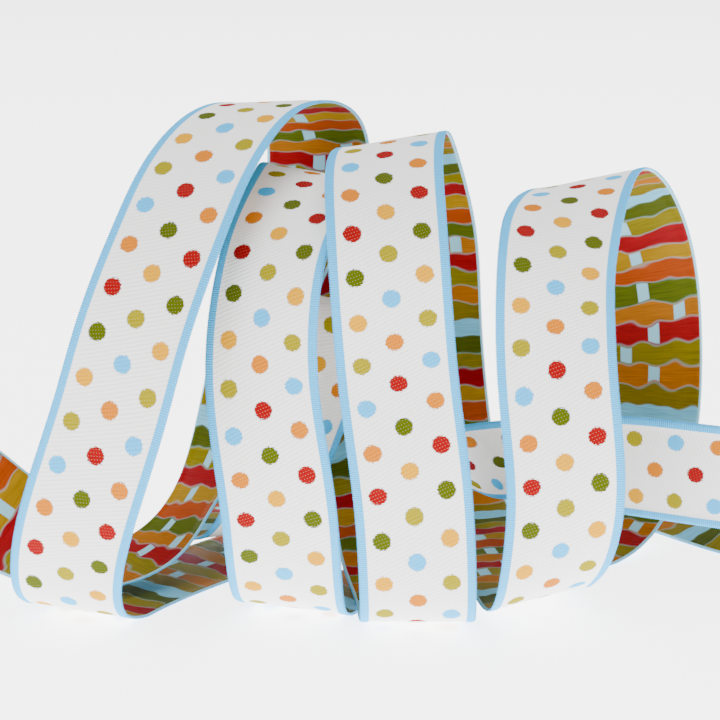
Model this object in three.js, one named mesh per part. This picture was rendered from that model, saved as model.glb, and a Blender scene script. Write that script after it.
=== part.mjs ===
// A length of narrow woven ribbon that has sprung off its roll into loose, standing loops.
// It is one strip of cloth: the coloured edges are woven in, so it is one closed body.
// Millimetres, +Z up. The origin is on the surface that the loops stand on, under the
// middle of their outline. X runs along the row of loops, and -Y is the front.

import * as THREE from 'three';

// Driving dimensions
const RIBBON_WIDTH = 22;
const RIBBON_THICKNESS = 1;
const STEP_LENGTH = 3;
const SAMPLES_PER_ROW = 40;
const SMOOTHING_PASSES = 6;
const CLOTH_COLOUR = 0xf3f2ea;

// The course of the ribbon, from the loose end inside the loops to the tail at the left.
// Each row is a place on its middle line. turn and tip are in degrees and say where its
// right-hand edge points: turn is the compass direction in plan, from +X towards +Y, and
// tip is how far that edge rises.
const COLUMNS = ['place', 'x', 'y', 'z', 'turn', 'tip'];
const COURSE = [
  ['inner end, cut', 1, 62.5, 38, 180, 0],
  ['inner loop, back', 0, 65, 50, 180, 0],
  ['inner loop, top', -3, 58, 58, 185, 0],
  ['inner loop, shoulder', -6, 52, 52, 194, 0],
  ['inner loop, front', -13, 50, 31, 206, 0],
  ['inner loop, low', -20, 50.2, 12, 211, 0],
  ['inner loop, foot', -26, 59, 3.5, 206, 0],
  ['crossing behind', -32, 75, 3, 188, 0],
  ['floor run, left', -33, 92, 0, 158, 0],
  ['floor run, turned', -16, 105, 0, 112, 0],
  ['floor run, middle', 14, 106, 0, 90, 0],
  ['floor run, right', 38, 105, 0, 74, 0],
  ['tail, behind the fourth loop', 56, 98, 0, 50, 0],
  ['tail, under the fourth loop', 67, 86, 0, 38, 0],
  ['tail, uncovered', 75, 76, 1, 38, 6],
  ['tail, leaning', 84, 64, 4, 38, 24],
  ['tail, upright', 91, 55, 9.5, 36, 54],
  ['tail, turn', 96, 47, 16, 0, 85],
  ['tail, turned back', 90, 39, 21, -90, 89],
  ['inner run, right', 74, 40, 22.5, -90, 88],
  ['inner run, fourth loop', 54, 49, 22.5, -90, 84],
  ['inner run, third loop', 28, 60, 20, -90, 58],
  ['inner run, sinking', 14, 74.5, 12.5, -90, 34],
  ['inner run, behind the first loop', 0, 74.5, 7.5, -88, 14],
  ['inner run, laid down', -15, 68, 1, -68, 0],
  ['first loop, heel', -32, 50, 0, -48, 0],
  ['first loop, foot', -50, 27, 0, -35, 0],
  ['first loop, toe', -56.5, 12, 4.5, -16, 0],
  ['first loop, shin', -55.5, 4, 18, -14, 0],
  ['first loop, low', -52, 1, 30, -14, 0],
  ['first loop, middle', -46.2, 0, 47, -15, 0],
  ['first loop, high', -41.6, 2, 63, -15, 0],
  ['first loop, shoulder', -36, 9, 78, -14, 0],
  ['first loop, brow', -30.4, 22, 90.4, -13, 0],
  ['first loop, top', -21.8, 42, 98.4, -18, 2],
  ['first loop, over', -12.5, 61, 96, -14, 3],
  ['first loop, back', -8.5, 77, 84, -6, 0],
  ['first loop, far side', -11, 80, 66, 0, 0],
  ['first loop, falling', -3, 69, 38, 0, 0],
  ['first loop, landing', 4.5, 56.5, 15, 0, 0],
  ['third loop, heel', 7, 41, 4.5, 0, 0],
  ['third loop, foot', 10, 25, 2.5, 0, 0],
  ['third loop, toe', 11.2, 8, 2.5, 0, 0],
  ['third loop, low', 10, 0, 30, 0, 0],
  ['third loop, middle', 7, 1, 53, 0, 0],
  ['third loop, high', 5, 6, 79, 0, 0],
  ['third loop, brow', 4.5, 23, 91, 0, 6],
  ['third loop, top', 6.5, 42, 92, 0, 9],
  ['third loop, over', 10, 64, 83, 0, 5],
  ['third loop, back', 14.8, 82, 65, -8, 0],
  ['third loop, far side', 16.8, 90, 38, 0, 0],
  ['third loop, landing', 20, 93, 12, 0, 0],
  ['fourth loop, drawn in', 22, 86, 2.6, 4, 0],
  ['fourth loop, heel', 27, 62, 3, 10, 0],
  ['fourth loop, foot', 33, 31, 3, 16, 0],
  ['fourth loop, toe', 36, 9, 8.5, 14, 12],
  ['fourth loop, low', 38.5, 0, 29, 3, 4],
  ['fourth loop, middle', 36, 2, 57, 0, 0],
  ['fourth loop, high', 36.8, 12, 76.4, 13, 4],
  ['fourth loop, top', 43.7, 38, 84, 18, 9],
  ['fourth loop, over', 54, 66, 77, 14, 0],
  ['fourth loop, back', 63, 83, 59, 0, 0],
  ['fourth loop, far side', 66.5, 89, 36, 0, 0],
  ['fourth loop, falling', 65, 85, 17, -15, 0],
  ['fourth loop, landing', 57.5, 71, 5, -40, 0],
  ['second loop, under run', 47, 57, 0.5, -44, 0],
  ['second loop, crossing under', 28, 50, 0, -58, 0],
  ['second loop, heel', 9, 40, 0, -54, 0],
  ['second loop, foot', -11.5, 25.5, 0, -28, 0],
  ['second loop, toe', -14, 10.5, 7, -10, 0],
  ['second loop, low', -15.2, 2, 28, -8, 0],
  ['second loop, middle', -18.6, 4, 55, -18, 0],
  ['second loop, high', -16.4, 11, 75, -26, 0],
  ['second loop, top', -9.5, 36, 86, -22, -7],
  ['second loop, over', -10, 60, 79, -14, -4],
  ['second loop, back', -19, 71, 60, -10, 0],
  ['second loop, far side', -23, 67.5, 38, -22, 2],
  ['left tail, falling', -35.4, 54.3, 13.5, -60, 14],
  ['left tail, low', -45.5, 43, 4.5, -50, 4],
  ['left tail, valley', -57, 36, 5, -74, -12],
  ['left tail, rising', -70, 36, 13, -118, -38],
  ['left tail, end', -84, 36, 24, -130, -50],
].map((row) => Object.fromEntries(COLUMNS.map((name, i) => [name, row[i]])));

// Where the right-hand edge of the ribbon points at one row.
function edgeDirection({ turn, tip }) {
  const a = THREE.MathUtils.degToRad(turn);
  const b = THREE.MathUtils.degToRad(tip);
  return new THREE.Vector3(Math.cos(a) * Math.cos(b), Math.sin(a) * Math.cos(b), Math.sin(b));
}

// Smooth curves through the rows, cut into steps of equal length along the middle line.
function walkCourse(rows) {
  const middle = new THREE.CatmullRomCurve3(
    rows.map(({ x, y, z }) => new THREE.Vector3(x, y, z)), false, 'centripetal');
  const edge = new THREE.CatmullRomCurve3(rows.map(edgeDirection), false, 'catmullrom');
  const count = (rows.length - 1) * SAMPLES_PER_ROW;
  const stations = [];
  let walked = 0;
  let last = null;
  for (let i = 0; i <= count; i += 1) {
    const point = middle.getPoint(i / count);
    if (last) walked += point.distanceTo(last);
    last = point;
    if (walked >= stations.length * STEP_LENGTH || i === count) {
      stations.push({ point, edge: edge.getPoint(i / count).normalize() });
    }
  }
  return stations;
}

// A woven strip is springy, so each place settles towards the average of its neighbours.
function settle(stations) {
  for (let pass = 0; pass < SMOOTHING_PASSES; pass += 1) {
    const before = stations.map(({ point, edge }) => ({ point: point.clone(), edge: edge.clone() }));
    for (let i = 1; i < stations.length - 1; i += 1) {
      for (const key of ['point', 'edge']) {
        stations[i][key].copy(before[i - 1][key]).add(before[i + 1][key])
          .addScaledVector(before[i][key], 2).multiplyScalar(1 / 4);
      }
    }
  }
  return stations;
}

// The four corners of the ribbon's section at each station, laid on the surface at z = 0.
function sections(stations) {
  const half = RIBBON_THICKNESS / 2;
  return stations.map(({ point, edge }, i) => {
    const before = stations[Math.max(i - 1, 0)].point;
    const after = stations[Math.min(i + 1, stations.length - 1)].point;
    const along = after.clone().sub(before).normalize();
    const across = edge.clone().addScaledVector(along, -edge.dot(along)).normalize();
    const edges = [-1, 1].map((side) => {
      const place = point.clone().addScaledVector(across, side * RIBBON_WIDTH / 2);
      place.z = Math.max(place.z, half);
      return place;
    });
    const face = edges[1].clone().sub(edges[0]).cross(along).normalize();
    const [left, right] = edges;
    return [
      left.clone().addScaledVector(face, half),
      right.clone().addScaledVector(face, half),
      right.clone().addScaledVector(face, -half),
      left.clone().addScaledVector(face, -half),
    ];
  });
}

// A closed strip: four long sides between the sections and a flat cut at each end,
// moved so that the middle of its outline stands over the origin.
function stripGeometry(rings) {
  const corners = rings[0].length;
  const positions = rings.flat().flatMap(({ x, y, z }) => [x, y, Math.max(z, 0)]);
  const index = [];
  for (let i = 0; i < rings.length - 1; i += 1) {
    for (let k = 0; k < corners; k += 1) {
      const a = i * corners + k;
      const b = i * corners + ((k + 1) % corners);
      index.push(a, b, b + corners, a, b + corners, a + corners);
    }
  }
  const end = (rings.length - 1) * corners;
  index.push(0, 2, 1, 0, 3, 2, end, end + 1, end + 2, end, end + 2, end + 3);
  const geometry = new THREE.BufferGeometry();
  geometry.setAttribute('position', new THREE.Float32BufferAttribute(positions, 3));
  geometry.setIndex(index);
  geometry.computeBoundingBox();
  const { min, max } = geometry.boundingBox;
  return geometry.translate(-(min.x + max.x) / 2, -(min.y + max.y) / 2, 0);
}

const ribbon = new THREE.Mesh(
  stripGeometry(sections(settle(walkCourse(COURSE)))),
  new THREE.MeshStandardMaterial({ color: CLOTH_COLOUR, roughness: 0.75, metalness: 0 }));
ribbon.name = 'ribbon';

const group = new THREE.Group();
group.add(ribbon);

export default group;
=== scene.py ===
import math

import bpy
import numpy as np
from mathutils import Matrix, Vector


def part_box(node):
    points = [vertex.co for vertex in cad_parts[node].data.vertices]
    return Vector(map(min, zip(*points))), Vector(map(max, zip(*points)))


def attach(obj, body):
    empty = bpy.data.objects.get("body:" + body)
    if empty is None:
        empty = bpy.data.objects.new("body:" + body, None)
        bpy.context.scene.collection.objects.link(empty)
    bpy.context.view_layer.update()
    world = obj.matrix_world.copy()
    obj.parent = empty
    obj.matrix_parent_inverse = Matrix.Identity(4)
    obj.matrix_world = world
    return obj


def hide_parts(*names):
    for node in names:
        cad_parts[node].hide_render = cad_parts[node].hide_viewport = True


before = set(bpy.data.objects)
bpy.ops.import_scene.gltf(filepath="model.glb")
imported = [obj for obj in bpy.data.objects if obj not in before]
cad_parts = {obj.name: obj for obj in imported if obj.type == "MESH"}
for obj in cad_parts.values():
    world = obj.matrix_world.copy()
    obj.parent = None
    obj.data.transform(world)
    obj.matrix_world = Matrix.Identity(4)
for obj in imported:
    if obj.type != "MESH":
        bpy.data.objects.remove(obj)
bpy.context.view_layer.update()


# The ribbon's course
# One length of springy polyester ribbon, 22 mm wide, that stands on its edges in loose loops.
# It was wound on a roll, so it curls with its face outwards and springs from loop to loop.
RIBBON_WIDTH = 22.0
STEP_LENGTH = 1.5
SAMPLES_PER_ROW = 60
SMOOTHING_PASSES = 24

# how a curve spaces its parameter between points: by the root of their distance, or evenly
CENTRIPETAL = 0.5
EVEN = 0.0

# place, middle of the ribbon in mm, and where its right-hand edge points in degrees:
# turn is the compass direction in plan, from +X towards +Y, and tip is how far it rises
COURSE = [
    ("inner end, cut", 1, 62.5, 38, 180, 0),
    ("inner loop, back", 0, 65, 50, 180, 0),
    ("inner loop, top", -3, 58, 58, 185, 0),
    ("inner loop, shoulder", -6, 52, 52, 194, 0),
    ("inner loop, front", -13, 50, 31, 206, 0),
    ("inner loop, low", -20, 50.2, 12, 211, 0),
    ("inner loop, foot", -26, 59, 3.5, 206, 0),
    ("crossing behind", -32, 75, 3, 188, 0),
    ("floor run, left", -33, 92, 0, 158, 0),
    ("floor run, turned", -16, 105, 0, 112, 0),
    ("floor run, middle", 14, 106, 0, 90, 0),
    ("floor run, right", 38, 105, 0, 74, 0),
    ("tail, behind the fourth loop", 56, 98, 0, 50, 0),
    ("tail, under the fourth loop", 67, 86, 0, 38, 0),
    ("tail, uncovered", 75, 76, 1, 38, 6),
    ("tail, leaning", 84, 64, 4, 38, 24),
    ("tail, upright", 91, 55, 9.5, 36, 54),
    ("tail, turn", 96, 47, 16, 0, 85),
    ("tail, turned back", 90, 39, 21, -90, 89),
    ("inner run, right", 74, 40, 22.5, -90, 88),
    ("inner run, fourth loop", 54, 49, 22.5, -90, 84),
    ("inner run, third loop", 28, 60, 20, -90, 58),
    ("inner run, sinking", 14, 74.5, 12.5, -90, 34),
    ("inner run, behind the first loop", 0, 74.5, 7.5, -88, 14),
    ("inner run, laid down", -15, 68, 1, -68, 0),
    ("first loop, heel", -32, 50, 0, -48, 0),
    ("first loop, foot", -50, 27, 0, -35, 0),
    ("first loop, toe", -56.5, 12, 4.5, -16, 0),
    ("first loop, shin", -55.5, 4, 18, -14, 0),
    ("first loop, low", -52, 1, 30, -14, 0),
    ("first loop, middle", -46.2, 0, 47, -15, 0),
    ("first loop, high", -41.6, 2, 63, -15, 0),
    ("first loop, shoulder", -36, 9, 78, -14, 0),
    ("first loop, brow", -30.4, 22, 90.4, -13, 0),
    ("first loop, top", -21.8, 42, 98.4, -18, 2),
    ("first loop, over", -12.5, 61, 96, -14, 3),
    ("first loop, back", -8.5, 77, 84, -6, 0),
    ("first loop, far side", -11, 80, 66, 0, 0),
    ("first loop, falling", -3, 69, 38, 0, 0),
    ("first loop, landing", 4.5, 56.5, 15, 0, 0),
    ("third loop, heel", 7, 41, 4.5, 0, 0),
    ("third loop, foot", 10, 25, 2.5, 0, 0),
    ("third loop, toe", 11.2, 8, 2.5, 0, 0),
    ("third loop, low", 10, 0, 30, 0, 0),
    ("third loop, middle", 7, 1, 53, 0, 0),
    ("third loop, high", 5, 6, 79, 0, 0),
    ("third loop, brow", 4.5, 23, 91, 0, 6),
    ("third loop, top", 6.5, 42, 92, 0, 9),
    ("third loop, over", 10, 64, 83, 0, 5),
    ("third loop, back", 14.8, 82, 65, -8, 0),
    ("third loop, far side", 16.8, 90, 38, 0, 0),
    ("third loop, landing", 20, 93, 12, 0, 0),
    ("fourth loop, drawn in", 22, 86, 2.6, 4, 0),
    ("fourth loop, heel", 27, 62, 3, 10, 0),
    ("fourth loop, foot", 33, 31, 3, 16, 0),
    ("fourth loop, toe", 36, 9, 8.5, 14, 12),
    ("fourth loop, low", 38.5, 0, 29, 3, 4),
    ("fourth loop, middle", 36, 2, 57, 0, 0),
    ("fourth loop, high", 36.8, 12, 76.4, 13, 4),
    ("fourth loop, top", 43.7, 38, 84, 18, 9),
    ("fourth loop, over", 54, 66, 77, 14, 0),
    ("fourth loop, back", 63, 83, 59, 0, 0),
    ("fourth loop, far side", 66.5, 89, 36, 0, 0),
    ("fourth loop, falling", 65, 85, 17, -15, 0),
    ("fourth loop, landing", 57.5, 71, 5, -40, 0),
    ("second loop, under run", 47, 57, 0.5, -44, 0),
    ("second loop, crossing under", 28, 50, 0, -58, 0),
    ("second loop, heel", 9, 40, 0, -54, 0),
    ("second loop, foot", -11.5, 25.5, 0, -28, 0),
    ("second loop, toe", -14, 10.5, 7, -10, 0),
    ("second loop, low", -15.2, 2, 28, -8, 0),
    ("second loop, middle", -18.6, 4, 55, -18, 0),
    ("second loop, high", -16.4, 11, 75, -26, 0),
    ("second loop, top", -9.5, 36, 86, -22, -7),
    ("second loop, over", -10, 60, 79, -14, -4),
    ("second loop, back", -19, 71, 60, -10, 0),
    ("second loop, far side", -23, 67.5, 38, -22, 2),
    ("left tail, falling", -35.4, 54.3, 13.5, -60, 14),
    ("left tail, low", -45.5, 43, 4.5, -50, 4),
    ("left tail, valley", -57, 36, 5, -74, -12),
    ("left tail, rising", -70, 36, 13, -118, -38),
    ("left tail, end", -84, 36, 24, -130, -50),
]


def spline(points, spacing):
    """A Catmull-Rom curve through the points, sampled at an even parameter in each span."""
    padded = np.vstack([2 * points[0] - points[1], points, 2 * points[-1] - points[-2]])
    samples = []
    for a, b, c, d in zip(padded, padded[1:], padded[2:], padded[3:]):
        gaps = [max(np.linalg.norm(q - p), 1e-6) ** spacing for p, q in ((a, b), (b, c), (c, d))]
        start = (b - a) / gaps[0] - (c - a) / (gaps[0] + gaps[1]) + (c - b) / gaps[1]
        end = (c - b) / gaps[1] - (d - b) / (gaps[1] + gaps[2]) + (d - c) / gaps[2]
        start, end = start * gaps[1], end * gaps[1]
        for t in np.arange(SAMPLES_PER_ROW) / SAMPLES_PER_ROW:
            samples.append(
                b
                + start * t
                + (3 * (c - b) - 2 * start - end) * t**2
                + (2 * (b - c) + start + end) * t**3
            )
    samples.append(points[-1])
    return np.array(samples)


def edge_directions():
    turn, tip = (np.radians([row[i] for row in COURSE]) for i in (4, 5))
    return np.stack([np.cos(turn) * np.cos(tip), np.sin(turn) * np.cos(tip), np.sin(tip)], axis=1)


middle = spline(np.array([row[1:4] for row in COURSE], float), CENTRIPETAL)
edge = spline(edge_directions(), EVEN)
walked = np.concatenate([[0], np.cumsum(np.linalg.norm(np.diff(middle, axis=0), axis=1))])
stops = np.arange(0, walked[-1], STEP_LENGTH)
middle = np.stack([np.interp(stops, walked, middle[:, i]) for i in range(3)], axis=1)
edge = np.stack([np.interp(stops, walked, edge[:, i]) for i in range(3)], axis=1)
edge /= np.linalg.norm(edge, axis=1)[:, None]
for _ in range(SMOOTHING_PASSES):
    for values in (middle, edge):
        values[1:-1] = (values[:-2] + 2 * values[1:-1] + values[2:]) / 4

along = np.gradient(middle, axis=0)
along /= np.linalg.norm(along, axis=1)[:, None]
across = edge - along * (edge * along).sum(axis=1)[:, None]
across /= np.linalg.norm(across, axis=1)[:, None]
arc = np.concatenate([[0], np.cumsum(np.linalg.norm(np.diff(middle, axis=0), axis=1))])


# The woven strip
# Polyester jacquard: an off-white twill with round dots of coloured weft, and a firm woven
# edge in pale blue on each side. The coloured wefts float across the back between the dots.
CLOTH_THICKNESS = 0.42
EDGE_CORD_WIDTH = 1.6
EDGE_CORD_THICKNESS = 0.62
RIM_THICKNESS = 0.30
FLAT_REACH = 7.8
FLAT_COLUMNS = 9
LOWEST_MIDDLE = 0.5
FLOOR_GAP = 0.2
DOT_PITCH = 8.6
MM_PER_METRE = 1000

# heights in mm, and lengths in mm for each radian, of the swell and of the edges' flutter
SWELL_HEIGHT = 0.16
SWELL_LENGTH = 23.0
FLUTTER_HEIGHT = 0.10
FLUTTER_LENGTH = 9.5
NEAR_FLOOR = 3
SHARE_NEAR_FLOOR = 0.2

# distance along the ribbon in mm, and the row of dots that is woven there
DOT_ROWS = [
    (489.1, 42),
    (506.5, 40),
    (534.0, 37),
    (551.5, 35),
    (569.5, 33),
    (588.5, 31),
    (599.0, 30),
    (786.5, 7),
    (805.8, 5),
    (822.8, 3),
    (838.3, 1),
    (854.8, -1),
    (872.3, -3),
    (1096.8, -29),
    (1115.8, -31),
    (1141.8, -34),
    (1163.8, -37),
    (1224.5, -44),
    (1280.0, -49.5),
    (1423.5, -66),
    (1466.3, -71),
    (1500.8, -75),
]


def row_of_dots(distance):
    places, rows = zip(*DOT_ROWS)
    before = rows[0] - (distance - places[0]) / DOT_PITCH
    after = rows[-1] - (distance - places[-1]) / DOT_PITCH
    inside = np.interp(distance, places, rows)
    return np.where(distance < places[0], before, np.where(distance > places[-1], after, inside))


# place across the ribbon in mm from its middle, and the cloth's thickness there
half_width = RIBBON_WIDTH / 2
cord_start = half_width - EDGE_CORD_WIDTH
EDGE_PROFILE = [
    (half_width, RIM_THICKNESS),
    (half_width - 0.35, EDGE_CORD_THICKNESS),
    (half_width - 0.8, EDGE_CORD_THICKNESS),
    (cord_start + 0.15, EDGE_CORD_THICKNESS),
    (cord_start - 0.15, CLOTH_THICKNESS),
]
PROFILE = (
    [(-x, t) for x, t in EDGE_PROFILE]
    + [(x, CLOTH_THICKNESS) for x in np.linspace(-FLAT_REACH, FLAT_REACH, FLAT_COLUMNS)]
    + EDGE_PROFILE[::-1]
)
offsets = np.array([x for x, _ in PROFILE])
half_thickness = np.array([t for _, t in PROFILE]) / 2
columns = len(PROFILE)

edges_mm = [middle + across * side * half_width for side in (-1, 1)]
for side in edges_mm:
    side[:, 2] = np.maximum(side[:, 2], LOWEST_MIDDLE)
share = ((offsets + half_width) / RIBBON_WIDTH)[None, :, None]
sheet_mm = edges_mm[0][:, None] * (1 - share) + edges_mm[1][:, None] * share
face = np.cross(edges_mm[1] - edges_mm[0], along)
face /= np.linalg.norm(face, axis=1)[:, None]

# a slack ribbon is never quite flat: long shallow waves run through it
swell = SWELL_HEIGHT * np.sin(arc / SWELL_LENGTH)
flutter = FLUTTER_HEIGHT * np.sin(arc / FLUTTER_LENGTH + 1.3)
wave = swell[:, None] * np.sin(offsets * 0.21 + 0.6)[None, :]
wave += flutter[:, None] * (offsets / half_width)[None, :] ** 2
wave[sheet_mm[:, :, 2] < NEAR_FLOOR] *= SHARE_NEAR_FLOOR
sheet_mm = sheet_mm + face[:, None] * wave[:, :, None]
front_mm = sheet_mm + face[:, None] * half_thickness[None, :, None]
back_mm = sheet_mm - face[:, None] * half_thickness[None, :, None]

# the outline's middle stands over the origin, as the solid's does, and the edges come down
# to the floor
packed_low, packed_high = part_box("ribbon")
both = np.concatenate([front_mm, back_mm]).reshape(-1, 3)
shift = np.array([0.0, 0.0, -FLOOR_GAP])
for i in (0, 1):
    packed_middle = (packed_low[i] + packed_high[i]) / 2 * MM_PER_METRE
    shift[i] = packed_middle - (both[:, i].min() + both[:, i].max()) / 2
front_mm += shift
back_mm += shift


def woven_strip(name, materials):
    """The closed strip, face, back and both edges, with its UV map in millimetres of weaving."""
    stations = len(arc)
    vertices = np.concatenate([front_mm, back_mm]).reshape(-1, 3) / MM_PER_METRE
    vertices[:, 2] = np.maximum(vertices[:, 2], 0)
    back = stations * columns
    faces, slots, uvs = [], [], []
    rows = -row_of_dots(arc) * DOT_PITCH
    place = offsets + half_width

    def add(corners, slot):
        faces.append([c[0] * columns + c[1] + c[2] * back for c in corners])
        slots.append(slot)
        uvs.extend((place[c[1]], rows[c[0]]) for c in corners)

    for i in range(stations - 1):
        for k in range(columns - 1):
            add([(i, k, 0), (i, k + 1, 0), (i + 1, k + 1, 0), (i + 1, k, 0)], 0)
            add([(i, k, 1), (i + 1, k, 1), (i + 1, k + 1, 1), (i, k + 1, 1)], 1)
        for k, turn in ((0, 1), (columns - 1, -1)):
            add([(i, k, 0), (i + 1, k, 0), (i + 1, k, 1), (i, k, 1)][::turn], 2)
    for i, turn in ((0, 1), (stations - 1, -1)):
        for k in range(columns - 1):
            add([(i, k, 0), (i, k, 1), (i, k + 1, 1), (i, k + 1, 0)][::turn], 2)
    mesh = bpy.data.meshes.new(name)
    mesh.from_pydata(vertices.tolist(), [], faces)
    weave = mesh.uv_layers.new(name="weave")
    weave.data.foreach_set("uv", np.array(uvs, float).ravel())
    for material in materials:
        mesh.materials.append(material)
    mesh.polygons.foreach_set("material_index", slots)
    mesh.polygons.foreach_set("use_smooth", [True] * len(faces))
    mesh.update()
    piece = bpy.data.objects.new(name, mesh)
    bpy.context.scene.collection.objects.link(piece)
    return piece


def from_hex(code):
    """An sRGB hex colour as linear values."""
    parts = [int(code[i : i + 2], 16) / 255 for i in (0, 2, 4)]
    return [c / 12.92 if c <= 0.04045 else ((c + 0.055) / 1.055) ** 2.4 for c in parts] + [1.0]


def add_node(tree, kind, settings=None, links=None):
    """Adds one node, with its settings, and links or values for its inputs."""
    node = tree.nodes.new(kind)
    for key, value in (settings or {}).items():
        setattr(node, key, value)
    for key, value in (links or {}).items():
        if isinstance(value, bpy.types.NodeSocket):
            tree.links.new(value, node.inputs[key])
        else:
            node.inputs[key].default_value = value
    return node


def new_cloth(name, roughness, sheen):
    material = bpy.data.materials.new(name)
    material.use_nodes = True
    shader = material.node_tree.nodes["Principled BSDF"]
    shader.inputs["Roughness"].default_value = roughness
    shader.inputs["Sheen Weight"].default_value = sheen
    shader.inputs["Sheen Roughness"].default_value = 0.4
    shader.inputs["Specular IOR Level"].default_value = 0.08
    return material, material.node_tree, shader


# dot colours in the order in which the loom repeats them, down the ribbon; the colours, here and
# below, are deeper than the real ones, because the render's tone curve pales them; the back's
# bands below are darker again than the same yarns in these dots, which is painted shade
DOT_COLOURS = ["34AEEC", "C67000", "8C0004", "4A5400", "D49400", "928600"]
GROUND = "FBFCFA"
EDGE_BLUES = ("24A2E8", "54C2F8")
DOT_RADIUS = 1.72
COLUMN_SPACING = 6.4
BINDING_WHITE = "F4EFE0"

# spacings in mm; real threads are finer, and these are as coarse as they need to be to show
DOT_THREAD_PITCH = 0.28
SPECK_PITCH_ACROSS = 0.62
SPECK_PITCH_ALONG = 0.66
TWILL_PITCH = 0.78
WARP_PITCH = 0.42
RIB_PITCH = 0.42


def weave_position(tree):
    uv = add_node(tree, "ShaderNodeUVMap", {"uv_map": "weave"})
    parts = add_node(tree, "ShaderNodeSeparateXYZ", None, {0: uv.outputs[0]})
    return uv.outputs[0], parts.outputs[0], parts.outputs[1]


def repeated_colour(tree, index, colours):
    """A node that gives the colour of that number in the repeat, counted from 0."""
    count = len(colours)
    turn = add_node(
        tree,
        "ShaderNodeMath",
        {"operation": "FLOORED_MODULO"},
        {0: index, 1: float(count)},
    ).outputs[0]
    turn = add_node(tree, "ShaderNodeMath", {"operation": "ADD"}, {0: turn, 1: 0.5}).outputs[0]
    place = add_node(
        tree,
        "ShaderNodeMath",
        {"operation": "DIVIDE"},
        {0: turn, 1: float(count)},
    ).outputs[0]
    ramp = add_node(tree, "ShaderNodeValToRGB", None, {0: place})
    ramp.color_ramp.interpolation = "CONSTANT"
    while len(ramp.color_ramp.elements) < count:
        ramp.color_ramp.elements.new(0.5)
    for i, (element, colour) in enumerate(zip(ramp.color_ramp.elements, colours)):
        element.position = i / count
        element.color = colour
    return ramp


def cell(tree, value, pitch):
    """0 to 1 across each thread of that pitch, as a rounded ridge."""
    wave = add_node(
        tree,
        "ShaderNodeMath",
        {"operation": "MULTIPLY"},
        {0: value, 1: 2 * math.pi / pitch},
    ).outputs[0]
    return add_node(
        tree,
        "ShaderNodeMath",
        {"operation": "MULTIPLY_ADD"},
        {
            0: add_node(tree, "ShaderNodeMath", {"operation": "SINE"}, {0: wave}).outputs[0],
            1: 0.5,
            2: 0.5,
        },
    ).outputs[0]


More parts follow.
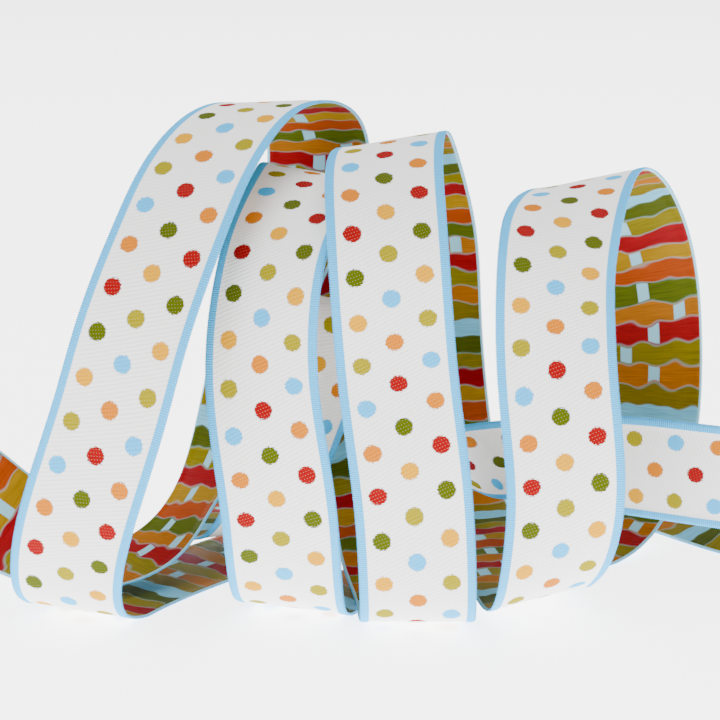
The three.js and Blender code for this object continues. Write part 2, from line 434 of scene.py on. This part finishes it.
def woven_face():
    """Polyester twill with dots of coloured weft: matt, with fine slanting ridges."""
    material, tree, shader = new_cloth("woven_face", 0.8, 0.0)
    uv, u, v = weave_position(tree)
    ragged = add_node(
        tree,
        "ShaderNodeTexNoise",
        {"noise_dimensions": "2D"},
        {"Vector": uv, "Scale": 2.6, "Detail": 1.0},
    )
    ragged = add_node(
        tree,
        "ShaderNodeMath",
        {"operation": "SUBTRACT"},
        {0: ragged.outputs[0], 1: 0.5},
    ).outputs[0]
    ragged = add_node(tree, "ShaderNodeMath", {"operation": "MULTIPLY"}, {0: ragged, 1: 0.55}).outputs[0]
    # each weft thread ends a dot a little early or late, so its rim is stepped
    thread = add_node(
        tree,
        "ShaderNodeMath",
        {"operation": "ROUND"},
        {
            0: add_node(
                tree,
                "ShaderNodeMath",
                {"operation": "DIVIDE"},
                {0: v, 1: DOT_THREAD_PITCH},
            ).outputs[0],
        },
    ).outputs[0]
    thread = add_node(
        tree,
        "ShaderNodeMath",
        {"operation": "MULTIPLY"},
        {0: thread, 1: DOT_THREAD_PITCH},
    ).outputs[0]
    from_middle = add_node(
        tree,
        "ShaderNodeMath",
        {"operation": "SUBTRACT"},
        {0: u, 1: half_width},
    ).outputs[0]

    cover, colour = None, None
    for column, first in ((-1, 3), (0, 0), (1, 4)):
        half_row = 0.5 if column == 0 else 0.0
        row = add_node(
            tree,
            "ShaderNodeMath",
            {"operation": "DIVIDE"},
            {0: thread, 1: -DOT_PITCH},
        ).outputs[0]
        row = add_node(tree, "ShaderNodeMath", {"operation": "SUBTRACT"}, {0: row, 1: half_row}).outputs[0]
        number = add_node(tree, "ShaderNodeMath", {"operation": "ROUND"}, {0: row}).outputs[0]
        rise = add_node(tree, "ShaderNodeMath", {"operation": "SUBTRACT"}, {0: row, 1: number}).outputs[0]
        rise = add_node(
            tree,
            "ShaderNodeMath",
            {"operation": "MULTIPLY"},
            {0: rise, 1: DOT_PITCH},
        ).outputs[0]
        side = add_node(
            tree,
            "ShaderNodeMath",
            {"operation": "SUBTRACT"},
            {0: from_middle, 1: column * COLUMN_SPACING},
        ).outputs[0]
        rise_squared = add_node(
            tree,
            "ShaderNodeMath",
            {"operation": "MULTIPLY"},
            {0: rise, 1: rise},
        ).outputs[0]
        side_squared = add_node(
            tree,
            "ShaderNodeMath",
            {"operation": "MULTIPLY"},
            {0: side, 1: side},
        ).outputs[0]
        reach = add_node(
            tree,
            "ShaderNodeMath",
            {"operation": "ADD"},
            {0: rise_squared, 1: side_squared},
        ).outputs[0]
        reach = add_node(tree, "ShaderNodeMath", {"operation": "SQRT"}, {0: reach}).outputs[0]
        reach = add_node(tree, "ShaderNodeMath", {"operation": "ADD"}, {0: reach, 1: ragged}).outputs[0]
        inside = add_node(
            tree,
            "ShaderNodeMapRange",
            {"interpolation_type": "SMOOTHSTEP"},
            {0: reach, 1: DOT_RADIUS + 0.1, 2: DOT_RADIUS - 0.1},
        ).outputs[0]
        turn = add_node(
            tree,
            "ShaderNodeMath",
            {"operation": "ADD"},
            {0: number, 1: float(first)},
        ).outputs[0]
        dye = repeated_colour(tree, turn, [from_hex(code) for code in DOT_COLOURS]).outputs[0]
        if cover is None:
            cover, colour = inside, dye
            continue
        cover = add_node(
            tree,
            "ShaderNodeMath",
            {"operation": "MAXIMUM"},
            {0: cover, 1: inside},
        ).outputs[0]
        colour = add_node(
            tree,
            "ShaderNodeMix",
            {"data_type": "RGBA"},
            {0: inside, 6: colour, 7: dye},
        ).outputs[2]

    # twill lines climb to the right
    slant_u = add_node(tree, "ShaderNodeMath", {"operation": "MULTIPLY"}, {0: u, 1: -0.42}).outputs[0]
    slant_v = add_node(tree, "ShaderNodeMath", {"operation": "MULTIPLY"}, {0: v, 1: 0.91}).outputs[0]
    slant = add_node(tree, "ShaderNodeMath", {"operation": "ADD"}, {0: slant_u, 1: slant_v}).outputs[0]
    twill = cell(tree, slant, TWILL_PITCH)
    warp = cell(tree, u, WARP_PITCH)
    # white binding ends show between the floats inside a dot as small specks
    speck_place_a = add_node(
        tree,
        "ShaderNodeMath",
        {"operation": "ADD"},
        {
            0: u,
            1: add_node(tree, "ShaderNodeMath", {"operation": "MULTIPLY"}, {0: v, 1: 0.5}).outputs[0],
        },
    ).outputs[0]
    speck_place_b = add_node(
        tree,
        "ShaderNodeMath",
        {"operation": "SUBTRACT"},
        {
            0: v,
            1: add_node(tree, "ShaderNodeMath", {"operation": "MULTIPLY"}, {0: u, 1: 0.3}).outputs[0],
        },
    ).outputs[0]
    speck_a = cell(tree, speck_place_a, SPECK_PITCH_ACROSS)
    speck_b = cell(tree, speck_place_b, SPECK_PITCH_ALONG)
    speck = add_node(
        tree,
        "ShaderNodeMath",
        {"operation": "MULTIPLY"},
        {0: speck_a, 1: speck_b},
    ).outputs[0]
    speck = add_node(
        tree,
        "ShaderNodeMapRange",
        {"interpolation_type": "SMOOTHSTEP"},
        {0: speck, 1: 0.7, 2: 0.95},
    ).outputs[0]
    speck = add_node(tree, "ShaderNodeMath", {"operation": "MULTIPLY"}, {0: speck, 1: 0.16}).outputs[0]

    # the twill's grooves are painted a little darker in the ground's colour: painted shade of the relief
    shade = add_node(
        tree,
        "ShaderNodeMath",
        {"operation": "MULTIPLY_ADD"},
        {0: twill, 1: 0.08, 2: 0.92},
    ).outputs[0]
    grey = add_node(tree, "ShaderNodeCombineColor", None, {0: shade, 1: shade, 2: shade})
    ground = add_node(
        tree,
        "ShaderNodeMix",
        {"data_type": "RGBA", "blend_type": "MULTIPLY"},
        {0: 1.0, 6: from_hex(GROUND), 7: grey.outputs[0]},
    )
    dots = add_node(
        tree,
        "ShaderNodeMix",
        {"data_type": "RGBA"},
        {0: speck, 6: colour, 7: from_hex(BINDING_WHITE)},
    ).outputs[2]
    cloth = add_node(
        tree,
        "ShaderNodeMix",
        {"data_type": "RGBA"},
        {0: cover, 6: ground.outputs[2], 7: dots},
    ).outputs[2]

    # the blue edge is a plain-woven cord with ribs across it
    edge_place = add_node(tree, "ShaderNodeMath", {"operation": "ABSOLUTE"}, {0: from_middle}).outputs[0]
    selvedge = add_node(
        tree,
        "ShaderNodeMapRange",
        {"interpolation_type": "SMOOTHSTEP"},
        {0: edge_place, 1: cord_start - 0.08, 2: cord_start + 0.08},
    ).outputs[0]
    rib = cell(tree, v, RIB_PITCH)
    blue = add_node(
        tree,
        "ShaderNodeMix",
        {"data_type": "RGBA"},
        {0: rib, 6: from_hex(EDGE_BLUES[0]), 7: from_hex(EDGE_BLUES[1])},
    ).outputs[2]
    base = add_node(
        tree,
        "ShaderNodeMix",
        {"data_type": "RGBA"},
        {0: selvedge, 6: cloth, 7: blue},
    ).outputs[2]
    tree.links.new(base, shader.inputs["Base Color"])

    warp_relief = add_node(
        tree,
        "ShaderNodeMath",
        {"operation": "MULTIPLY"},
        {0: warp, 1: 0.25},
    ).outputs[0]
    dot_relief = add_node(tree, "ShaderNodeMath", {"operation": "MULTIPLY"}, {0: cover, 1: 0.5}).outputs[0]
    relief = add_node(
        tree,
        "ShaderNodeMath",
        {"operation": "MULTIPLY_ADD"},
        {0: twill, 1: 0.55, 2: warp_relief},
    ).outputs[0]
    relief = add_node(tree, "ShaderNodeMath", {"operation": "ADD"}, {0: relief, 1: dot_relief}).outputs[0]
    ribs = add_node(
        tree,
        "ShaderNodeMath",
        {"operation": "MULTIPLY_ADD"},
        {0: rib, 1: 0.9, 2: 0.4},
    ).outputs[0]
    relief = add_node(
        tree,
        "ShaderNodeMix",
        {"data_type": "FLOAT"},
        {0: selvedge, 2: relief, 3: ribs},
    ).outputs[0]
    bump = add_node(
        tree,
        "ShaderNodeBump",
        None,
        {"Strength": 0.55, "Distance": 0.00015, "Height": relief},
    )
    tree.links.new(bump.outputs[0], shader.inputs["Normal"])
    return material


# one band of coloured weft for each half row of dots, and how far from the middle, in mm,
# the pale ground weft shows through it as a small square; the bands' colours are darker than
# the same yarns on the face, which is painted shade
REVERSE_BANDS = [
    ("6CB6D2", None),
    ("424C00", None),
    ("766A00", -2.2),
    ("88000C", None),
    ("987200", -1.6),
    ("9A3C00", None),
    ("4C5800", -1.4),
    ("9E5E00", 6.2),
    ("8C0008", 0.2),
    ("766A00", -6.1),
    ("9E5C00", 0.2),
    ("726200", None),
]
FIRST_BAND = 8.0
SQUARE_RANGE = 40.0
PALE_WEFT = "8CC6D8"


def woven_reverse():
    """The back of the jacquard: smooth coloured floats in bands right across, with pale ties, in colours
    made darker than the face's dots as painted shade.
    """
    material, tree, shader = new_cloth("woven_reverse", 0.48, 0.0)
    uv, u, v = weave_position(tree)
    from_middle = add_node(
        tree,
        "ShaderNodeMath",
        {"operation": "SUBTRACT"},
        {0: u, 1: half_width},
    ).outputs[0]
    # the floats are slack, so each band swells and narrows along its length
    slack = add_node(
        tree,
        "ShaderNodeTexNoise",
        {"noise_dimensions": "2D"},
        {"Vector": uv, "Scale": 0.22, "Detail": 0.0},
    )
    slack = add_node(
        tree,
        "ShaderNodeMath",
        {"operation": "SUBTRACT"},
        {0: slack.outputs[0], 1: 0.5},
    ).outputs[0]
    slack = add_node(tree, "ShaderNodeMath", {"operation": "MULTIPLY"}, {0: slack, 1: 0.55}).outputs[0]
    half_rows = add_node(
        tree,
        "ShaderNodeMath",
        {"operation": "DIVIDE"},
        {0: v, 1: -DOT_PITCH / 2},
    ).outputs[0]
    half_rows = add_node(tree, "ShaderNodeMath", {"operation": "ADD"}, {0: half_rows, 1: slack}).outputs[0]
    number = add_node(tree, "ShaderNodeMath", {"operation": "ROUND"}, {0: half_rows}).outputs[0]
    offset = add_node(
        tree,
        "ShaderNodeMath",
        {"operation": "SUBTRACT"},
        {0: half_rows, 1: number},
    ).outputs[0]
    offset = add_node(tree, "ShaderNodeMath", {"operation": "ABSOLUTE"}, {0: offset}).outputs[0]
    turn = add_node(
        tree,
        "ShaderNodeMath",
        {"operation": "SUBTRACT"},
        {0: FIRST_BAND, 1: number},
    ).outputs[0]
    # the alpha carries the square's place; without one, it lies off the cloth
    # these band colours carry painted shade: they are darker than the same yarns on the face
    shaded_band_colours = [
        from_hex(code)[:3] + [0.0 if place is None else place / SQUARE_RANGE + 0.5]
        for code, place in REVERSE_BANDS
    ]
    bands = repeated_colour(tree, turn, shaded_band_colours)

    # single threads lie side by side in the floats and catch the light a little differently
    stretched = add_node(tree, "ShaderNodeMapping", None, {"Vector": uv, "Scale": (0.12, 4.0, 1.0)})
    threads = add_node(
        tree,
        "ShaderNodeTexNoise",
        {"noise_dimensions": "2D"},
        {"Vector": stretched.outputs[0], "Scale": 1.0, "Detail": 3.0},
    )
    shade = add_node(
        tree,
        "ShaderNodeMath",
        {"operation": "MULTIPLY_ADD"},
        {0: threads.outputs[0], 1: 0.9, 2: 0.5},
    ).outputs[0]
    grey = add_node(tree, "ShaderNodeCombineColor", None, {0: shade, 1: shade, 2: shade})
    streaked = add_node(
        tree,
        "ShaderNodeMix",
        {"data_type": "RGBA", "blend_type": "MULTIPLY"},
        {0: 1.0, 6: bands.outputs[0], 7: grey.outputs[0]},
    )

    square_place = add_node(
        tree,
        "ShaderNodeMath",
        {"operation": "MULTIPLY_ADD"},
        {0: bands.outputs[1], 1: SQUARE_RANGE, 2: -SQUARE_RANGE / 2},
    ).outputs[0]
    gap = add_node(
        tree,
        "ShaderNodeMath",
        {"operation": "SUBTRACT"},
        {0: from_middle, 1: square_place},
    ).outputs[0]
    gap = add_node(tree, "ShaderNodeMath", {"operation": "ABSOLUTE"}, {0: gap}).outputs[0]
    square_across = add_node(
        tree,
        "ShaderNodeMapRange",
        {"interpolation_type": "SMOOTHSTEP"},
        {0: gap, 1: 1.4, 2: 1.1},
    ).outputs[0]
    square_along = add_node(
        tree,
        "ShaderNodeMapRange",
        {"interpolation_type": "SMOOTHSTEP"},
        {0: offset, 1: 0.46, 2: 0.38},
    ).outputs[0]
    square = add_node(
        tree,
        "ShaderNodeMath",
        {"operation": "MULTIPLY"},
        {0: square_across, 1: square_along},
    ).outputs[0]
    tie = add_node(
        tree,
        "ShaderNodeMapRange",
        {"interpolation_type": "SMOOTHSTEP"},
        {0: offset, 1: 0.4, 2: 0.48},
    ).outputs[0]
    tie = add_node(tree, "ShaderNodeMath", {"operation": "MULTIPLY"}, {0: tie, 1: 0.22}).outputs[0]
    column = add_node(tree, "ShaderNodeMath", {"operation": "ABSOLUTE"}, {0: from_middle}).outputs[0]
    edge = add_node(
        tree,
        "ShaderNodeMapRange",
        {"interpolation_type": "SMOOTHSTEP"},
        {0: column, 1: half_width - 0.55, 2: half_width - 0.4},
    ).outputs[0]
    pale = add_node(tree, "ShaderNodeMath", {"operation": "MAXIMUM"}, {0: square, 1: tie}).outputs[0]
    pale = add_node(tree, "ShaderNodeMath", {"operation": "MAXIMUM"}, {0: pale, 1: edge}).outputs[0]
    base = add_node(
        tree,
        "ShaderNodeMix",
        {"data_type": "RGBA"},
        {0: pale, 6: streaked.outputs[2], 7: from_hex(PALE_WEFT)},
    ).outputs[2]
    tree.links.new(base, shader.inputs["Base Color"])

    body = add_node(tree, "ShaderNodeMath", {"operation": "MULTIPLY"}, {0: pale, 1: 0.6}).outputs[0]
    body = add_node(tree, "ShaderNodeMath", {"operation": "SUBTRACT"}, {0: 1.0, 1: body}).outputs[0]
    relief = add_node(
        tree,
        "ShaderNodeMath",
        {"operation": "MULTIPLY_ADD"},
        {0: threads.outputs[0], 1: 0.6, 2: body},
    ).outputs[0]
    bump = add_node(
        tree,
        "ShaderNodeBump",
        None,
        {"Strength": 0.6, "Distance": 0.0002, "Height": relief},
    )
    tree.links.new(bump.outputs[0], shader.inputs["Normal"])
    return material


def woven_edge():
    """The turned weft at the ribbon's rim: pale blue yarn, ribbed at each pick."""
    material, tree, shader = new_cloth("woven_edge", 0.65, 0.06)
    _, _, v = weave_position(tree)
    rib = cell(tree, v, RIB_PITCH)
    blue = add_node(
        tree,
        "ShaderNodeMix",
        {"data_type": "RGBA"},
        {0: rib, 6: from_hex(EDGE_BLUES[0]), 7: from_hex(EDGE_BLUES[1])},
    ).outputs[2]
    tree.links.new(blue, shader.inputs["Base Color"])
    bump = add_node(tree, "ShaderNodeBump", None, {"Strength": 0.5, "Distance": 0.00012, "Height": rib})
    tree.links.new(bump.outputs[0], shader.inputs["Normal"])
    return material


ribbon_cloth = woven_strip("ribbon_cloth", [woven_face(), woven_reverse(), woven_edge()])
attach(ribbon_cloth, "root")
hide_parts("ribbon")


# The turned picks
# At each edge the weft turns back into the cloth and leaves a tiny loop, about every 0.46 mm.
# They are the pale blue yarn itself and give the edge its fine scalloped outline.
PICK_PITCH = 0.00046
PICK_RADIUS = 0.00021
YARN_BLUES = ("34AAEA", "5CC6F8")


def edge_line(column):
    """A rim of the strip, as a mesh line with its outward direction at each point."""
    rim = (front_mm[:, column] + back_mm[:, column]) / 2 / MM_PER_METRE
    inner = (front_mm[:, columns // 2] + back_mm[:, columns // 2]) / 2 / MM_PER_METRE
    outward = rim - inner
    outward /= np.linalg.norm(outward, axis=1)[:, None]
    return rim, outward


def turned_picks():
    rims = [edge_line(0), edge_line(columns - 1)]
    mesh = bpy.data.meshes.new("pick_lines")
    points = np.concatenate([rim for rim, _ in rims])
    count = len(arc)
    lines = [(i + part * count, i + 1 + part * count) for part in (0, 1) for i in range(count - 1)]
    mesh.from_pydata(points.tolist(), lines, [])
    outward = mesh.attributes.new("outward", "FLOAT_VECTOR", "POINT")
    outward.data.foreach_set("vector", np.concatenate([out for _, out in rims]).ravel())
    piece = bpy.data.objects.new("pick_lines", mesh)
    bpy.context.scene.collection.objects.link(piece)

    tree = bpy.data.node_groups.new("turned_picks", "GeometryNodeTree")
    tree.interface.new_socket("Geometry", in_out="INPUT", socket_type="NodeSocketGeometry")
    pitch = tree.interface.new_socket("Pick pitch", in_out="INPUT", socket_type="NodeSocketFloat")
    radius = tree.interface.new_socket("Pick radius", in_out="INPUT", socket_type="NodeSocketFloat")
    yarn = tree.interface.new_socket("Yarn", in_out="INPUT", socket_type="NodeSocketMaterial")
    tree.interface.new_socket("Geometry", in_out="OUTPUT", socket_type="NodeSocketGeometry")
    given = add_node(tree, "NodeGroupInput")
    line = add_node(tree, "GeometryNodeMeshToCurve", None, {"Mesh": given.outputs["Geometry"]})
    places = add_node(
        tree,
        "GeometryNodeResampleCurve",
        {"mode": "LENGTH"},
        {"Curve": line.outputs[0], "Length": given.outputs["Pick pitch"]},
    )
    facing = add_node(
        tree,
        "GeometryNodeInputNamedAttribute",
        {"data_type": "FLOAT_VECTOR"},
        {"Name": "outward"},
    )
    tangent = add_node(tree, "GeometryNodeInputTangent")
    upright = add_node(
        tree,
        "FunctionNodeAlignRotationToVector",
        {"axis": "X"},
        {"Vector": facing.outputs["Attribute"]},
    )
    turned = add_node(
        tree,
        "FunctionNodeAlignRotationToVector",
        {"axis": "Y", "pivot_axis": "X"},
        {"Rotation": upright.outputs[0], "Vector": tangent.outputs[0]},
    )
    bead = add_node(
        tree,
        "GeometryNodeMeshUVSphere",
        None,
        {"Segments": 6, "Rings": 3, "Radius": given.outputs["Pick radius"]},
    )
    vary = add_node(
        tree,
        "FunctionNodeRandomValue",
        {"data_type": "FLOAT"},
        {2: 0.85, 3: 1.15, "Seed": 4},
    )
    size = add_node(tree, "ShaderNodeCombineXYZ", None, {0: vary.outputs[1], 1: 0.8, 2: 0.7})
    beads = add_node(
        tree,
        "GeometryNodeInstanceOnPoints",
        None,
        {
            "Points": places.outputs[0],
            "Instance": bead.outputs[0],
            "Rotation": turned.outputs[0],
            "Scale": size.outputs[0],
        },
    )
    solid = add_node(tree, "GeometryNodeRealizeInstances", None, {0: beads.outputs[0]})
    smooth = add_node(tree, "GeometryNodeSetShadeSmooth", None, {0: solid.outputs[0]})
    dyed = add_node(
        tree,
        "GeometryNodeSetMaterial",
        None,
        {"Geometry": smooth.outputs[0], "Material": given.outputs["Yarn"]},
    )
    add_node(tree, "NodeGroupOutput", None, {0: dyed.outputs[0]})

    modifier = piece.modifiers.new("turned_picks", "NODES")
    modifier.node_group = tree
    modifier[pitch.identifier] = PICK_PITCH
    modifier[radius.identifier] = PICK_RADIUS
    modifier[yarn.identifier] = pick_yarn()
    evaluated = piece.evaluated_get(bpy.context.evaluated_depsgraph_get())
    plain = bpy.data.meshes.new_from_object(evaluated)
    piece.modifiers.remove(modifier)
    bpy.data.objects.remove(piece)
    plain.name = "edge_picks"
    result = bpy.data.objects.new("edge_picks", plain)
    bpy.context.scene.collection.objects.link(result)
    return result


def pick_yarn():
    """Filament polyester yarn: nearly matt, with a slight change of tone from pick to pick."""
    material, tree, shader = new_cloth("pick_yarn", 0.6, 0.05)
    where = add_node(tree, "ShaderNodeTexCoord")
    noise = add_node(
        tree,
        "ShaderNodeTexNoise",
        None,
        {"Vector": where.outputs["Object"], "Scale": 900.0, "Detail": 1.0},
    )
    blue = add_node(
        tree,
        "ShaderNodeMix",
        {"data_type": "RGBA"},
        {0: noise.outputs[0], 6: from_hex(YARN_BLUES[0]), 7: from_hex(YARN_BLUES[1])},
    ).outputs[2]
    tree.links.new(blue, shader.inputs["Base Color"])
    return material


edge_picks = turned_picks()
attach(edge_picks, "root")
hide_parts("ribbon")


# The table
# A white light table, which glows through the sheet on it, so that the ribbon stands
# against a nearly white ground with hardly any shadow.
TABLE_REACH = 3
floor_mesh = bpy.data.meshes.new("floor")
table_corners = [(x * TABLE_REACH, y * TABLE_REACH, 0) for x, y in ((-1, -1), (1, -1), (1, 1), (-1, 1))]
floor_mesh.from_pydata(table_corners, [], [(0, 1, 2, 3)])
paper = bpy.data.materials.new("lit_paper")
paper.use_nodes = True
paper_shader = paper.node_tree.nodes["Principled BSDF"]
paper_shader.inputs["Base Color"].default_value = from_hex("F4F4F3")
paper_shader.inputs["Roughness"].default_value = 0.9
paper_shader.inputs["Emission Color"].default_value = from_hex("FFFFFF")
paper_shader.inputs["Emission Strength"].default_value = 3.6
floor_mesh.materials.append(paper)
floor = bpy.data.objects.new("floor", floor_mesh)
bpy.context.scene.collection.objects.link(floor)


# The light and the view
# Broad soft light from above and the front, as in a light tent, from the photograph's angle.
world = bpy.data.worlds.new("studio")
world.use_nodes = True
world.node_tree.nodes["Background"].inputs[0].default_value = from_hex("FFFFFF")
world.node_tree.nodes["Background"].inputs[1].default_value = 0.30
bpy.context.scene.world = world

# the lamps point at the middle of the loops
LIT_PLACE = Vector((0, 0, 0.04))

# name, place in metres, side in metres, power in watts
for name, place, side, power in (
    ("key_light", (-0.5, -0.7, 0.9), 0.8, 9),
    ("fill_light", (0.7, -0.5, 0.5), 0.7, 3),
    ("back_light", (0.1, 0.8, 0.8), 0.8, 1.5),
    ("top_light", (0.0, 0.2, 1.6), 1.6, 30),
):
    lamp = bpy.data.lights.new(name, "AREA")
    lamp.size = side
    lamp.energy = power
    light = bpy.data.objects.new(name, lamp)
    light.location = place
    light.rotation_euler = (LIT_PLACE - Vector(place)).to_track_quat("-Z", "Y").to_euler()
    bpy.context.scene.collection.objects.link(light)

# distances in metres; the focal length and the picture's width are in pixels
VIEW_ELEVATION = math.radians(14)
VIEW_DISTANCE = 0.430
VIEW_DEPTH = 0.045
VIEW_HEIGHT = 0.046
SENSOR_WIDTH = 36
PICTURE_WIDTH = 720
FOCAL_LENGTH = 2098
view_target = Vector(
    (shift[0] / MM_PER_METRE, VIEW_DEPTH + shift[1] / MM_PER_METRE, VIEW_HEIGHT)
)
camera_data = bpy.data.cameras.new("camera")
camera_data.sensor_width = SENSOR_WIDTH
camera_data.lens = SENSOR_WIDTH * FOCAL_LENGTH / PICTURE_WIDTH
camera = bpy.data.objects.new("camera", camera_data)
towards_camera = Vector((0, -math.cos(VIEW_ELEVATION), math.sin(VIEW_ELEVATION)))
camera.location = view_target + VIEW_DISTANCE * towards_camera
camera.rotation_euler = (math.pi / 2 - VIEW_ELEVATION, 0, 0)
bpy.context.scene.collection.objects.link(camera)
bpy.context.scene.camera = camera
